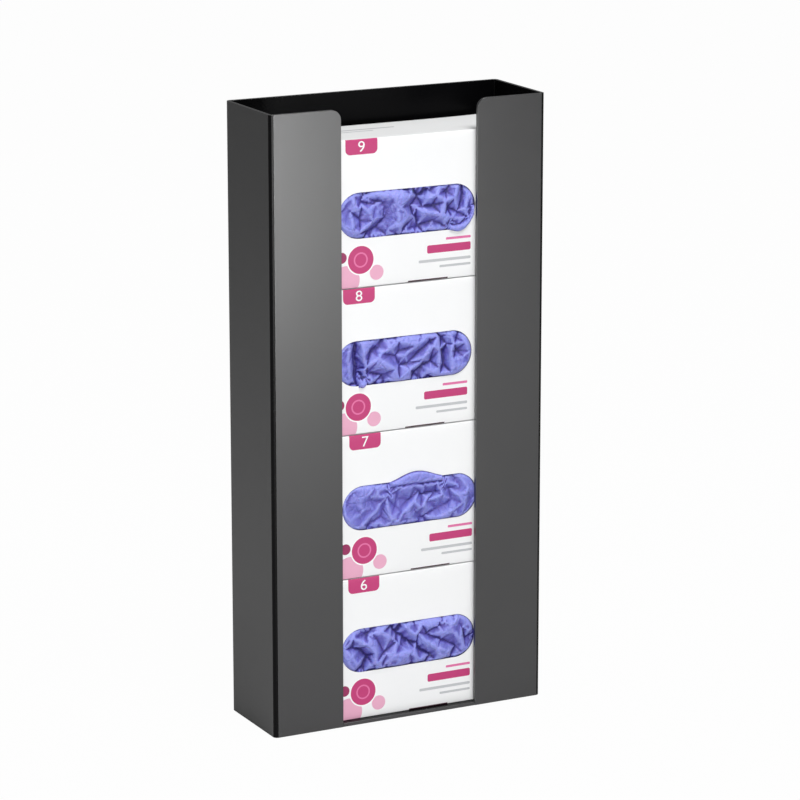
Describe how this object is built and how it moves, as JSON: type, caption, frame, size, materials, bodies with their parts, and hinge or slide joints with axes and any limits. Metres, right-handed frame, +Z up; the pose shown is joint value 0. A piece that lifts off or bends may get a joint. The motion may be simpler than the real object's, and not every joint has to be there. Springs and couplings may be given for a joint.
{
  "type": "disposable glove dispenser",
  "caption": "Tall open-front holder of bent black sheet, stacked with slotted cartons of blue disposable gloves.",
  "frame": {"origin": "middle of the base, on the surface that the holder stands on", "axes": "+X to the right across the front, +Y from the open front to the back wall, +Z up"},
  "size_m": [0.26, 0.088, 0.54],
  "materials": {
    "black_sheet": "glossy black plastic sheet",
    "white_card": "coated white folding carton with printed fields",
    "blue_nitrile": "soft matt nitrile film"
  },
  "bodies": {
    "root": {"holder_shell": "black_sheet", "bottom_shelf": "black_sheet", "carton_1": "white_card", "carton_2": "white_card", "carton_3": "white_card", "carton_4": "white_card", "gloves_1": "blue_nitrile", "gloves_2": "blue_nitrile", "gloves_3": "blue_nitrile", "gloves_4": "blue_nitrile"}
  },
  "joints": []
}
